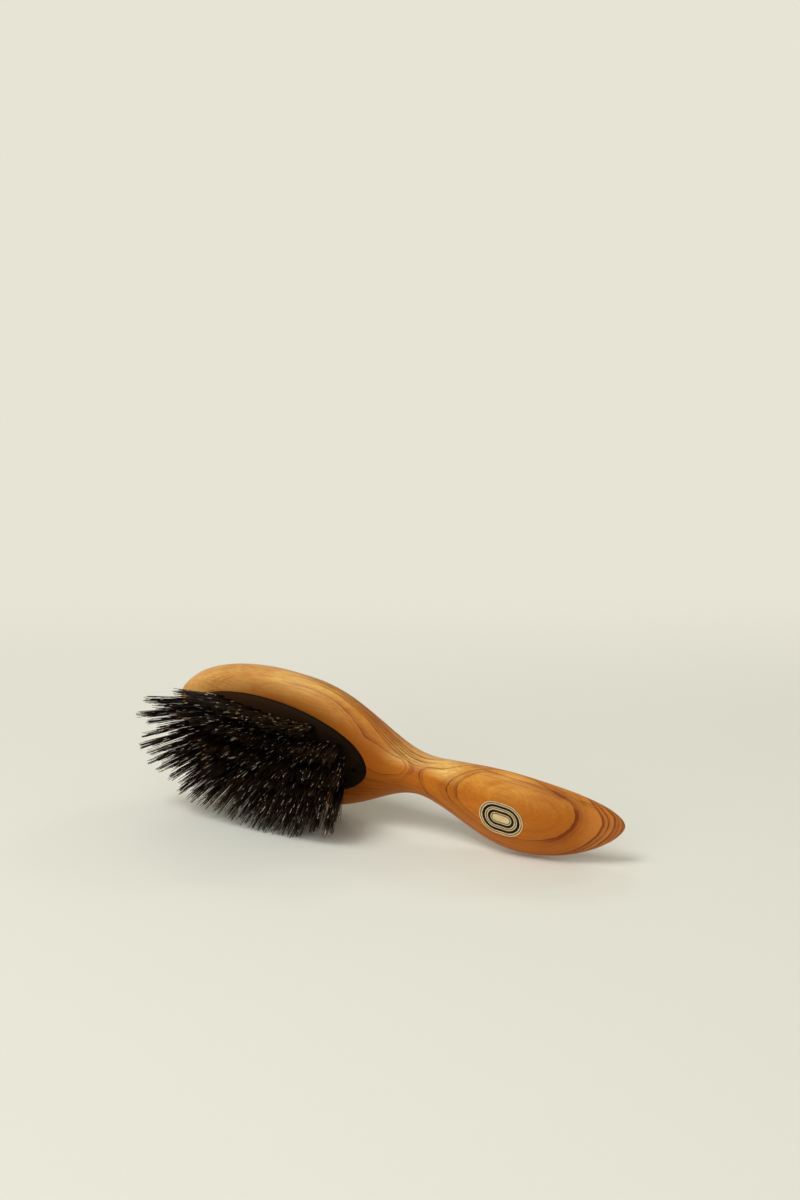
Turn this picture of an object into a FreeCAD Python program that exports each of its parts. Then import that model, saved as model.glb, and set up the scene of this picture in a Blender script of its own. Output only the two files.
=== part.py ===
import FreeCAD, Part
import math
import os

import Sketcher
from FreeCAD import Placement, Rotation, Vector

# Driving dimensions of the brush, in millimetres, degrees and counts.
# Brush axes: x runs from the toe of the head to the tip of the handle, y runs across,
# and z points out of the bristle face.
SIZES = {
    # Outline of the wooden body, seen from the bristle side, in stretches from the toe to the tip
    "head_length": 66,
    "shoulder_length": 66,
    "swell_length": 47,
    "tip_length": 46,
    "head_width": 65,
    "neck_width": 18.5,
    "grip_width": 39,
    # Side view of the wooden body
    "toe_front_round": 15,
    "toe_back_round": 50,
    "head_front_rise": 10.7,
    "head_back_drop": 14.2,
    "neck_front_rise": 9,
    "neck_back_drop": 9.4,
    "grip_front_rise": 8.1,
    "grip_back_drop": 7.3,
    "neck_bow": -0.7,
    "grip_bow": 4.6,
    "bow_lead": 3,
    "tip_bow": -9,
    # Oval pocket in the head, with the groove that holds the cushion
    "pad_toe_margin": 9.2,
    "pad_heel_margin": 24.8,
    "pad_side_margin": 10.3,
    "pad_rim_drop": 1,
    "pad_land": 1,
    "chamber_depth": 7,
    "groove_below_rim": 1.4,
    "groove_height": 1.6,
    "groove_reach": 1.6,
    # Rubber cushion
    "cushion_gap": 0.1,
    "cushion_rise": 7,
    "cushion_wall": 1.6,
    "skirt_depth": 4,
    "vent_diameter": 2,
    "vent_margin": 5,
    # Bristle tufts, with their margins from the cushion's inner wall
    "row_count": 7,
    "tuft_pitch": 5.4,
    "tuft_side_margin": 1.6,
    "tuft_toe_margin": 2.6,
    "tuft_heel_margin": 6,
    "tuft_length": 26.5,
    "tuft_root_width": 2.4,
    "tuft_tip_gap": 0.2,
    "tuft_tip_dome": 1,
    "tuft_root_stub": 1.2,
    "tuft_hole_gap": 0.4,
    "upper_splay_angle": 34,
    "lower_splay_angle": 22,
    "toe_splay_angle": 38,
    "heel_splay_angle": 22,
    # Staples that hold the tufts under the cushion
    "anchor_length": 4,
    "anchor_width": 1.2,
    "anchor_thickness": 0.6,
    # Badge on the handle, a plate with round ends
    "badge_straight": 4.8,
    "badge_width": 16.2,
    "badge_inset": 0.5,
    "badge_thickness": 1.2,
    "badge_gap": 0.1,
    "glue_thickness": 0.15,
    "glue_margin": 1,
    "ring_margin": 1.5,
    "ring_width": 1.3,
    "ring_spacing": 1.4,
    "ring_depth": 0.5,
    "ring_gap": 0.05,
    # How the brush lies on its side, on its edge and its bristle tips
    "lie_pitch_angle": 7.8,
    "lie_roll_angle": 13.1,
    # Extra reach of every cutting tool
    "overrun": 5,
}

# Sizes that follow from the driving ones
DERIVED = {
    "neck_at": "=head_length + shoulder_length",
    "grip_widest_at": "=neck_at + swell_length",
    "body_length": "=grip_widest_at + tip_length",
    "grip_bow_at": "=grip_widest_at - bow_lead",
    "pad_half_length": "=(neck_at - pad_heel_margin - pad_toe_margin) / 2",
    "pad_half_width": "=head_width / 2 - pad_side_margin",
    "pad_centre_at": "=pad_toe_margin + pad_half_length",
    "pad_rim_height": "=head_front_rise - pad_rim_drop",
    "groove_floor": "=pad_rim_height - groove_below_rim - groove_height",
    "cushion_half_length": "=pad_half_length - cushion_gap",
    "cushion_half_width": "=pad_half_width - cushion_gap",
    "tuft_full_length": "=tuft_length + cushion_wall + tuft_root_stub",
    "tuft_tip_width": "=tuft_pitch - tuft_tip_gap",
    "badge_top": "=grip_bow + grip_front_rise - badge_inset",
    "badge_underside": "=badge_top - badge_thickness",
    "badge_floor": "=badge_underside - glue_thickness",
    "ring_floor": "=badge_top - ring_depth",
    "inner_ring_margin": "=ring_margin + ring_width + ring_spacing",
}

# Shapes of the carved body, as shares chosen by eye
SHOULDER_FULLNESS_SHARE = 1.41
FACE_FULLNESS_SHARE = 2
GRIP_FULLNESS_SHARE = 0.86
TIP_ROUNDNESS_SHARE = 0.59
FLAT_FACE_SHARE = 0.86
ROUND_SHARE = 0.5523

# Where the body is carved to a section, as shares of each stretch of its length
TOE_TURN_SHARES = (0.05, 0.125, 0.2, 0.28, 0.375, 0.5, 0.625, 0.75, 0.875, 1)
NECK_RUN_SHARES = (0.14, 0.29, 0.43, 0.57, 0.71, 0.86, 1)
GRIP_RUN_SHARES = (0.2, 0.4, 0.6, 0.8, 1)
TIP_TURN_SHARES = (0.17, 0.33, 0.5, 0.65, 0.78, 0.88, 0.95)

# How far out the outer rows of tufts stand in the field of tufts, and how full its oval is
OUTER_ROW_SHARE = 0.86
FIELD_FULLNESS_POWER = 2.5

# Margins of the badge's rings from its edge
RING_MARGINS = ("sizes.ring_margin", "sizes.inner_ring_margin")

QUARTER_TURN = 90

doc = FreeCAD.newDocument("hair_brush")
sheet = doc.addObject("Spreadsheet::Sheet", "sizes")
for line, (alias, value) in enumerate({**SIZES, **DERIVED}.items(), start=1):
    sheet.set(f"A{line}", alias)
    sheet.set(f"B{line}", str(value))
    sheet.setAlias(f"B{line}", alias)
doc.recompute()


def size(alias):
    """Value of one cell of the sheet."""
    return float(sheet.get(alias))


def bind(item, expressions):
    """Ties properties of an object to the sheet."""
    for name, expression in expressions.items():
        item.setExpression(name, expression)
    return item


# Curves of the carved body

def mix(start, end, share):
    """Value a share of the way from start to end."""
    return start + (end - start) * share


def ease(share):
    """Share that starts and ends without a slope."""
    return share * share * (3 - 2 * share)


def quarter_round(share):
    """Height share of a quarter oval at a share of its length."""
    return math.sqrt(1 - (1 - min(share, 1)) ** 2)


def run(place, start, end):
    """Share of a stretch that a place has passed, from 0 to 1."""
    return min(max((place - size(start)) / (size(end) - size(start)), 0), 1)


def half_width(place):
    """Half the body's width at a place along it."""
    if place <= size("head_length"):
        return size("head_width") / 2 * quarter_round(place / size("head_length"))
    if place <= size("neck_at"):
        share = run(place, "head_length", "neck_at") ** SHOULDER_FULLNESS_SHARE
        return mix(size("head_width"), size("neck_width"), ease(share)) / 2
    if place <= size("grip_widest_at"):
        share = run(place, "neck_at", "grip_widest_at") ** GRIP_FULLNESS_SHARE
        return mix(size("neck_width"), size("grip_width"), ease(share)) / 2
    share = run(place, "grip_widest_at", "body_length")
    return size("grip_width") / 2 * (1 - share ** 2) ** TIP_ROUNDNESS_SHARE


def thickness(place, toe_round, head, neck, grip, neck_share):
    """How far the front or the back stands from the body's middle line at a place along it."""
    toe = quarter_round(place / size(toe_round))
    neck_run = ease(run(place, "head_length", "neck_at") ** neck_share)
    grip_run = ease(run(place, "neck_at", "grip_widest_at"))
    tip = math.sqrt(1 - run(place, "grip_widest_at", "body_length") ** 2)
    return mix(mix(size(head) * toe, size(neck), neck_run), size(grip), grip_run) * tip


def front_rise(place):
    """Height of the bristle side above the body's middle line."""
    return thickness(place, "toe_front_round", "head_front_rise", "neck_front_rise",
                     "grip_front_rise", FACE_FULLNESS_SHARE)


def back_drop(place):
    """Depth of the back below the body's middle line."""
    return thickness(place, "toe_back_round", "head_back_drop", "neck_back_drop",
                     "grip_back_drop", 1)


def bow(place):
    """Height of the body's middle line, which bows along the handle and sweeps back at its tip."""
    neck = size("neck_bow") * ease(run(place, "head_length", "neck_at"))
    grip = mix(neck, size("grip_bow"), ease(run(place, "neck_at", "grip_bow_at")))
    return mix(grip, size("tip_bow"), run(place, "grip_bow_at", "body_length") ** 2)


def quarter(centre, start, end, fullness):
    """Quarter of a section, from a side to a crown, as one cubic curve."""
    corner = start + end - centre
    curve = Part.BezierCurve()
    curve.setPoles([start, start + (corner - start) * fullness, end + (corner - end) * fullness, end])
    return curve.toShape()


def body_section(place):
    """Closed section of the body: a flattened front on the head and a round back."""
    centre = Vector(place, 0, bow(place))
    right = centre + Vector(0, half_width(place), 0)
    left = centre - Vector(0, half_width(place), 0)
    crown = centre + Vector(0, 0, front_rise(place))
    spine = centre - Vector(0, 0, back_drop(place))
    front = mix(FLAT_FACE_SHARE, ROUND_SHARE, ease(run(place, "head_length", "neck_at")))
    return Part.Wire([
        quarter(centre, right, crown, front),
        quarter(centre, crown, left, front),
        quarter(centre, left, spine, ROUND_SHARE),
        quarter(centre, spine, right, ROUND_SHARE),
    ])


def body_places():
    """Places along the body where its sections stand."""
    head, neck = size("head_length"), size("neck_at")
    grip, tip = size("grip_widest_at"), size("body_length")
    toe_turns = [math.radians(QUARTER_TURN * share) for share in TOE_TURN_SHARES]
    tip_turns = [math.radians(QUARTER_TURN * share) for share in TIP_TURN_SHARES]
    places = [head * (1 - math.cos(turn)) for turn in toe_turns]
    places += [mix(head, neck, share) for share in NECK_RUN_SHARES]
    places += [mix(neck, grip, share) for share in GRIP_RUN_SHARES]
    places += [mix(grip, tip, math.sin(turn)) for turn in tip_turns]
    return places


# Building blocks

def oval_block(name, half_length, half_wide, bottom, height):
    """Upright block with an oval outline, centred on the pad."""
    outline = bind(doc.addObject("Part::Ellipse", name + "_outline"), {
        "MajorRadius": half_length,
        "MinorRadius": half_wide,
        "Placement.Base.x": "sizes.pad_centre_at",
        "Placement.Base.z": bottom,
    })
    block = bind(doc.addObject("Part::Extrusion", name), {"LengthFwd": height})
    block.Base = outline
    block.DirMode = "Custom"
    block.Dir = Vector(0, 0, 1)
    block.Solid = True
    return block


def dome(name, inward):
    """Upper half of an oval dome over the pad, a wall's width inside the outer one."""
    half = bind(doc.addObject("Part::Ellipsoid", name), {
        "Radius1": f"sizes.cushion_rise - {inward}",
        "Radius2": f"sizes.cushion_half_length - {inward}",
        "Radius3": f"sizes.cushion_half_width - {inward}",
        "Placement.Base.x": "sizes.pad_centre_at",
        "Placement.Base.z": "sizes.pad_rim_height",
    })
    half.Angle1 = 0
    return half


def joined(name, pieces):
    """Several solids fused into one."""
    fused = doc.addObject("Part::MultiFuse", name)
    fused.Shapes = pieces
    return fused


def cut(name, base, tool):
    """One solid with another taken out of it."""
    rest = doc.addObject("Part::Cut", name)
    rest.Base = base
    rest.Tool = tool
    return rest


def origin_plane(body, role):
    """Plane of a body's own origin."""
    return next(plane for plane in body.Origin.OriginFeatures if plane.Role == role)


def badge_sketch(body, name, level):
    """Empty sketch at a level over the middle of the badge."""
    sketch = body.newObject("Sketcher::SketchObject", name)
    sketch.AttachmentSupport = (origin_plane(body, "XY_Plane"), [""])
    sketch.MapMode = "FlatFace"
    return bind(sketch, {
        "AttachmentOffset.Base.x": "sizes.grip_bow_at",
        "AttachmentOffset.Base.z": level,
    })


def draw_pill(sketch, margin):
    """Round-ended outline, a margin inside the badge's edge."""
    radius_rule = f"sizes.badge_width / 2 - ({margin})"
    radius = float(sketch.evalExpression(radius_rule))
    reach = size("badge_straight") / 2
    first = sketch.GeometryCount
    up, axis = Vector(0, radius, 0), Vector(0, 0, 1)
    right, left = Vector(reach, 0, 0), Vector(-reach, 0, 0)
    half_turn = math.pi
    sketch.addGeometry([
        Part.LineSegment(left + up, right + up),
        Part.ArcOfCircle(Part.Circle(right, axis, radius), -half_turn / 2, half_turn / 2),
        Part.LineSegment(right - up, left - up),
        Part.ArcOfCircle(Part.Circle(left, axis, radius), half_turn / 2, half_turn * 3 / 2),
    ], False)
    top, east, base, west = range(first, first + 4)
    sketch.addConstraint([
        Sketcher.Constraint("Tangent", top, 2, east, 2),
        Sketcher.Constraint("Tangent", east, 1, base, 1),
        Sketcher.Constraint("Tangent", base, 2, west, 2),
        Sketcher.Constraint("Tangent", west, 1, top, 1),
        Sketcher.Constraint("Horizontal", top),
        Sketcher.Constraint("Symmetric", east, 3, west, 3, -1, 1),
    ])
    radius_line = sketch.addConstraint(Sketcher.Constraint("Radius", east, radius))
    reach_line = sketch.addConstraint(Sketcher.Constraint("DistanceX", west, 3, east, 3, 2 * reach))
    bind(sketch, {
        f"Constraints[{radius_line}]": radius_rule,
        f"Constraints[{reach_line}]": "sizes.badge_straight",
    })


def pill_slab(name, margins, level, height):
    """Flat slab between pill outlines, standing on a level."""
    body = doc.addObject("PartDesign::Body", name)
    sketch = badge_sketch(body, name + "_outline", level)
    for margin in margins:
        draw_pill(sketch, margin)
    slab = bind(body.newObject("PartDesign::Pad", name + "_slab"), {"Length": height})
    slab.Profile = sketch
    return body


# Wooden body, with the pocket for the cushion and the recess for the badge

def wood_body():
    """Head and handle carved from one piece of wood."""
    blank = doc.addObject("Part::Feature", "wood_blank")
    toe = Part.Vertex(Vector(0, 0, bow(0)))
    tip = Part.Vertex(Vector(size("body_length"), 0, bow(size("body_length"))))
    blank.Shape = Part.makeLoft([toe] + [body_section(place) for place in body_places()] + [tip], True)
    land = oval_block("pad_land_cut", "sizes.pad_half_length + sizes.pad_land",
                      "sizes.pad_half_width + sizes.pad_land", "sizes.pad_rim_height", "sizes.overrun")
    chamber = oval_block("chamber_cut", "sizes.pad_half_length", "sizes.pad_half_width",
                         "sizes.pad_rim_height - sizes.chamber_depth",
                         "sizes.chamber_depth + sizes.overrun")
    groove = oval_block("groove_cut", "sizes.pad_half_length + sizes.groove_reach",
                        "sizes.pad_half_width + sizes.groove_reach", "sizes.groove_floor", "sizes.groove_height")
    recess = pill_slab("badge_recess_cut", ["-sizes.badge_gap"], "sizes.badge_floor", "sizes.overrun")
    return cut("wood_body", blank, joined("wood_cuts", [land, chamber, groove, recess]))


# Badge: a brass plate with black rings, glued into the handle

def badge_plate():
    """Brass plate with a channel for each ring."""
    body = pill_slab("badge_plate", ["0"], "sizes.badge_underside", "sizes.badge_thickness")
    for number, margin in enumerate(RING_MARGINS, start=1):
        sketch = badge_sketch(body, f"ring_channel_{number}_outline", "sizes.badge_top")
        draw_pill(sketch, margin)
        draw_pill(sketch, f"{margin} + sizes.ring_width")
        channel = body.newObject("PartDesign::Pocket", f"ring_channel_{number}")
        channel.Profile = sketch
        bind(channel, {"Length": "sizes.ring_depth"})
    return body


def badge_infill():
    """Black rings that fill the plate's channels."""
    rings = []
    for number, margin in enumerate(RING_MARGINS, start=1):
        edges = [f"{margin} + sizes.ring_gap", f"{margin} + sizes.ring_width - sizes.ring_gap"]
        rings.append(pill_slab(f"enamel_ring_{number}", edges, "sizes.ring_floor + sizes.ring_gap",
                               "sizes.ring_depth - sizes.ring_gap"))
    infill = doc.addObject("Part::Compound", "badge_infill")
    infill.Links = rings
    return infill


def badge_adhesive():
    """Glue film under the plate."""
    return pill_slab("badge_adhesive", ["sizes.glue_margin"], "sizes.badge_floor", "sizes.glue_thickness")


# Places and directions of the tufts on the cushion

def cushion_half_sizes(inward):
    """Half length, half width and rise of the cushion's dome, a wall's width inside the outer one."""
    return Vector(size("cushion_half_length") - inward, size("cushion_half_width") - inward,
                  size("cushion_rise") - inward)


def in_dome_units(vector, half):
    """Vector measured in the half sizes of a dome."""
    return Vector(vector.x / half.x, vector.y / half.y, vector.z / half.z)


def on_cushion(place, side):
    """Point of the cushion's outer face over a place and a side."""
    half = cushion_half_sizes(0)
    flat = in_dome_units(Vector(place - size("pad_centre_at"), side, 0), half)
    return Vector(place, side, size("pad_rim_height") + half.z * math.sqrt(1 - flat.Length ** 2))


def wall_depth(point, direction):
    """Length of a tuft's way through the cushion's wall."""
    half = cushion_half_sizes(size("cushion_wall"))
    offset = in_dome_units(point - Vector(size("pad_centre_at"), 0, size("pad_rim_height")), half)
    step = in_dome_units(direction, half)
    square, slope, rest = step.dot(step), offset.dot(step), offset.dot(offset) - 1
    return (slope - math.sqrt(slope ** 2 - square * rest)) / square


def tuft_field():
    """Middle, half length and half width of the full oval that the tufts fill."""
    inner = cushion_half_sizes(size("cushion_wall"))
    toe = size("pad_centre_at") - inner.x + size("tuft_toe_margin")
    heel = size("pad_centre_at") + inner.x - size("tuft_heel_margin")
    return (toe + heel) / 2, (heel - toe) / 2, inner.y - size("tuft_side_margin")


def tuft_direction(place, side):
    """Direction of a tuft, which leans out more towards the edge of the field."""
    middle, half_length, half_wide = tuft_field()
    along, across = (place - middle) / half_length, side / half_wide
    end_splay = size("toe_splay_angle") if along < 0 else size("heel_splay_angle")
    side_splay = size("lower_splay_angle") if across < 0 else size("upper_splay_angle")
    return Vector(math.tan(math.radians(end_splay * along)),
                  math.tan(math.radians(side_splay * across)), 1).normalize()


def tuft_sites(row):
    """Foot and direction of every tuft in one row, with the rows staggered."""
    middle, half_length, half_wide = tuft_field()
    middle_row = (size("row_count") + 1) / 2
    side = half_wide * OUTER_ROW_SHARE * (row - middle_row) / (middle_row - 1)
    reach = half_length * (1 - abs(side / half_wide) ** FIELD_FULLNESS_POWER) ** (1 / FIELD_FULLNESS_POWER)
    stagger = (row % 2) / 2
    most = math.ceil(reach / size("tuft_pitch"))
    offsets = [(number + stagger) * size("tuft_pitch") for number in range(-most, most + 1)]
    sites = []
    for offset in offsets:
        if abs(offset) <= reach:
            face = on_cushion(middle + offset, side)
            direction = tuft_direction(middle + offset, side)
            below = wall_depth(face, direction) + size("tuft_root_stub")
            sites.append((face - direction * below, direction))
    return sites


def all_rows():
    """Numbers of the tuft rows, from one edge of the head to the other."""
    return range(1, round(size("row_count")) + 1)


def set_at_sites(pattern, sites):
    """Copies of a pattern's solid, each standing on a foot along its direction."""
    copies = []
    for foot, direction in sites:
        copy = pattern.copy()
        stand = Placement(foot, Rotation(Vector(1, 0, 0), Vector(), direction, "ZXY"))
        copy.Placement = stand.multiply(copy.Placement)
        copies.append(copy)
    return Part.makeCompound(copies)


def repeated(name, pattern, row):
    """Node that holds one row of a pattern's copies."""
    node = doc.addObject("Part::Feature", f"{name}_{row}")
    node.Shape = set_at_sites(pattern.Shape, tuft_sites(row))
    return node


def tuft_pattern():
    """One tuft: a bundle that flares from its folded root to a domed end."""
    body = doc.addObject("PartDesign::Body", "tuft_pattern")
    sketch = body.newObject("Sketcher::SketchObject", "tuft_outline")
    sketch.AttachmentSupport = (origin_plane(body, "XZ_Plane"), [""])
    sketch.MapMode = "FlatFace"
    root, tip = size("tuft_root_width") / 2, size("tuft_tip_width") / 2
    length = size("tuft_full_length")
    shoulder = length - size("tuft_tip_dome")
    foot, heel = Vector(0, 0, 0), Vector(root, 0, 0)
    edge, end = Vector(tip, shoulder, 0), Vector(0, length, 0)
    dome_radius = (tip ** 2 + size("tuft_tip_dome") ** 2) / (2 * size("tuft_tip_dome"))
    dome_centre = Vector(0, length - dome_radius, 0)
    edge_turn = math.atan2(shoulder - dome_centre.y, tip)
    sketch.addGeometry([
        Part.LineSegment(foot, heel),
        Part.LineSegment(heel, edge),
        Part.ArcOfCircle(Part.Circle(dome_centre, Vector(0, 0, 1), dome_radius), edge_turn, math.pi / 2),
        Part.LineSegment(end, foot),
    ], False)
    base, flank, cap, axis = range(4)
    sketch.addConstraint([
        Sketcher.Constraint("Coincident", base, 2, flank, 1),
        Sketcher.Constraint("Coincident", flank, 2, cap, 1),
        Sketcher.Constraint("Coincident", cap, 2, axis, 1),
        Sketcher.Constraint("Coincident", axis, 2, base, 1),
        Sketcher.Constraint("Coincident", base, 1, -1, 1),
        Sketcher.Constraint("Horizontal", base),
        Sketcher.Constraint("Vertical", axis),
        Sketcher.Constraint("PointOnObject", cap, 3, -2),
    ])
    measures = (
        (Sketcher.Constraint("DistanceX", base, 1, base, 2, root), "sizes.tuft_root_width / 2"),
        (Sketcher.Constraint("DistanceX", -1, 1, flank, 2, tip), "sizes.tuft_tip_width / 2"),
        (Sketcher.Constraint("DistanceY", flank, 2, cap, 2, size("tuft_tip_dome")), "sizes.tuft_tip_dome"),
        (Sketcher.Constraint("DistanceY", axis, 2, axis, 1, length), "sizes.tuft_full_length"),
    )
    for constraint, expression in measures:
        bind(sketch, {f"Constraints[{sketch.addConstraint(constraint)}]": expression})
    bundle = body.newObject("PartDesign::Revolution", "tuft_bundle")
    bundle.Profile = sketch
    bundle.ReferenceAxis = (sketch, ["V_Axis"])
    return body


def anchor_pattern():
    """One staple: a flat steel bar across the foot of a tuft."""
    return bind(doc.addObject("Part::Box", "anchor_pattern"), {
        "Length": "sizes.anchor_length",
        "Width": "sizes.anchor_width",
        "Height": "sizes.anchor_thickness",
        "Placement.Base.x": "-sizes.anchor_length / 2",
        "Placement.Base.y": "-sizes.anchor_width / 2",
        "Placement.Base.z": "-sizes.anchor_thickness",
    })


# Rubber cushion: a domed membrane with a skirt and a bead

def rubber_cushion():
    """Membrane over the air chamber, with a hole for each tuft and a vent at the heel."""
    skirt = oval_block("skirt_block", "sizes.cushion_half_length", "sizes.cushion_half_width",
                       "sizes.pad_rim_height - sizes.skirt_depth", "sizes.skirt_depth")
    bead = oval_block("bead_block", "sizes.cushion_half_length + sizes.groove_reach",
                      "sizes.cushion_half_width + sizes.groove_reach",
                      "sizes.groove_floor + sizes.cushion_gap",
                      "sizes.groove_height - 2 * sizes.cushion_gap")
    solid = joined("cushion_solid", [dome("outer_dome", "0"), skirt, bead])
    well = oval_block("cushion_well", "sizes.cushion_half_length - sizes.cushion_wall",
                      "sizes.cushion_half_width - sizes.cushion_wall",
                      "sizes.pad_rim_height - sizes.skirt_depth - sizes.overrun",
                      "sizes.skirt_depth + sizes.overrun")
    hollow = joined("cushion_hollow", [dome("inner_dome", "sizes.cushion_wall"), well])
    return cut("rubber_cushion", cut("membrane", solid, hollow), tuft_holes())


def tuft_holes():
    """Round cutters for the tufts' holes and the vent."""
    radius = size("tuft_root_width") / 2 + size("tuft_hole_gap")
    bore = Part.makeCylinder(radius, size("tuft_root_stub") + size("cushion_wall") + size("overrun"))
    holes = [set_at_sites(bore, tuft_sites(row)) for row in all_rows()]
    heel = size("pad_centre_at") + size("pad_half_length") - size("vent_margin")
    holes.append(Part.makeCylinder(size("vent_diameter") / 2, size("cushion_rise") + size("overrun"),
                                   Vector(heel, 0, size("pad_rim_height"))))
    cutters = doc.addObject("Part::Feature", "tuft_holes")
    cutters.Shape = Part.makeCompound(holes)
    return cutters


# The whole brush, laid on its side with the bristle face to the front

def lying_placement(pieces):
    """Placement that lays the brush down with its lowest point at height zero, under its middle."""
    pitch = Rotation(Vector(0, 1, 0), size("lie_pitch_angle"))
    roll = Rotation(Vector(1, 0, 0), QUARTER_TURN + size("lie_roll_angle"))
    turn = pitch.multiply(roll)
    box = FreeCAD.BoundBox()
    for piece in pieces:
        turned = piece.Shape.copy()
        turned.Placement = Placement(Vector(), turn).multiply(turned.Placement)
        box.add(turned.optimalBoundingBox())
    return Placement(Vector(-box.Center.x, -box.Center.y, -box.ZMin), turn)


def check(items, subparts):
    """Stops if any object failed or any piece has no sound solid."""
    for item in items:
        if {"Invalid", "Error"} & set(item.State):
            raise RuntimeError(f"{item.Name} failed: {item.State}")
    for piece in subparts:
        if piece.Shape.isNull() or not piece.Shape.isValid() or not piece.Shape.Solids:
            raise RuntimeError(f"{piece.Name} has no sound solid")


tuft, anchor = tuft_pattern(), anchor_pattern()
doc.recompute()
brush = [wood_body(), rubber_cushion(), badge_plate(), badge_infill(), badge_adhesive()]
brush += [repeated("tuft_row", tuft, row) for row in all_rows()]
brush += [repeated("anchor_row", anchor, row) for row in all_rows()]
doc.recompute()
check(doc.Objects, brush)
lying = lying_placement(brush)
for piece in brush:
    piece.Label = piece.Name
    piece.Placement = lying
doc.recompute()
check(doc.Objects, brush)

os.makedirs("parts", exist_ok=True)
for piece in brush:
    piece.Shape.exportStep(f"parts/{piece.Label}.step")
    print(f"{piece.Label}: {len(piece.Shape.Solids)} solids, {piece.Shape.Volume:.1f} mm3")
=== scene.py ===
"""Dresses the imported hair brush: olive wood body, rubber cushion, bristle tufts and brass badge."""

from __future__ import annotations

import logging
import math
from dataclasses import dataclass, field
from enum import Enum
from functools import partialmethod, reduce
from typing import Any, Iterable, Mapping, Sequence

import bpy
from bpy.types import ID, Material, Mesh, NodeSocket, NodeTree, Object
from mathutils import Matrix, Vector

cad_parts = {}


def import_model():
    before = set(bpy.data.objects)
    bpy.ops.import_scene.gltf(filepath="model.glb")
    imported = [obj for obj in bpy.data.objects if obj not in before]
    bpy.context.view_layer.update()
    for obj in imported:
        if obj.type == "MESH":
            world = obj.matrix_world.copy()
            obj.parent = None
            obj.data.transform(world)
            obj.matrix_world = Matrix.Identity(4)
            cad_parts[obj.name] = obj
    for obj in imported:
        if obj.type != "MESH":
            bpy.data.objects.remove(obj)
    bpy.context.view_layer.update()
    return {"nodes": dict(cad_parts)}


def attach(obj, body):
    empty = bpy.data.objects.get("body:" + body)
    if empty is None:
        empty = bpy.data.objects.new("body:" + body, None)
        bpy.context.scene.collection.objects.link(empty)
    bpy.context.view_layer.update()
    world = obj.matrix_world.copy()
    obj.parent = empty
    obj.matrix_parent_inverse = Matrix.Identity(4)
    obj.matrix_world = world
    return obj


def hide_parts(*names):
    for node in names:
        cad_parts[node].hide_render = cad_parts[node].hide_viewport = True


log = logging.getLogger("hair_brush")

Colour = tuple[float, float, float, float]
Span = tuple[float, float]

MM = 0.001
HANDLE_BODY = "handle_body"


class Slot(Enum):
    """Material slots of the record, whose names the code here does not use."""

    RUBBER = "cushion_rubber"
    BRISTLE = "bristle"


class Draw(Enum):
    """Numbers of the random draws that each bristle makes."""

    TURN = 1
    SHARE = 2
    LENGTH = 3
    STRAY = 4
    TONE = 5
    CURL = 6


def add_object(name: str, data: ID) -> Object:
    """Adds an object to the scene and returns it."""
    bpy.context.scene.collection.objects.link(item := bpy.data.objects.new(name, data))
    return item


# Node building


class Signal:
    """A number socket of a node tree, with arithmetic that adds Math nodes."""

    def __init__(self, board: Board, socket: NodeSocket) -> None:
        """Wraps one output socket of a board."""
        self.board = board
        self.socket = socket

    def math(self, operation: str, *values: Any) -> Signal:
        """Adds a Math node, whose operands are the values, or this signal where there are none."""
        inputs = dict(enumerate(values or (self,)))
        return self.board.add("ShaderNodeMath", {"operation": operation}, inputs)

    def joined(self, operation: str, other: Any) -> Signal:
        """Result of an operation on this and a number or another signal."""
        return self.math(operation, self, other)

    __add__ = __radd__ = partialmethod(joined, "ADD")
    __sub__ = partialmethod(joined, "SUBTRACT")
    __mul__ = __rmul__ = partialmethod(joined, "MULTIPLY")
    __truediv__ = partialmethod(joined, "DIVIDE")
    __pow__ = partialmethod(joined, "POWER")
    most = partialmethod(joined, "MAXIMUM")

    def __rsub__(self, other: Any) -> Signal:
        """Difference from a number."""
        return self.math("SUBTRACT", other, self)

    def __abs__(self) -> Signal:
        """Value without its sign."""
        return self.math("ABSOLUTE")

    def shuffled(self, factor: float) -> Signal:
        """New value from 0 to 1 that looks unlike this one."""
        return (self * factor).math("FRACT")

    def between(self, low: float, high: float) -> Signal:
        """Value from low where this is 0 to high where it is 1."""
        return low + (high - low) * self

    def rise(self, low: float, high: float) -> Signal:
        """Smooth step from 0 at low to 1 at high."""
        settings = {"interpolation_type": "SMOOTHSTEP", "clamp": True}
        return self.board.add("ShaderNodeMapRange", settings, {0: self, 1: low, 2: high, 3: 0.0, 4: 1.0})


def strongest(signals: Iterable[Signal]) -> Signal:
    """Largest of several signals."""
    return reduce(Signal.most, signals)


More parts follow.
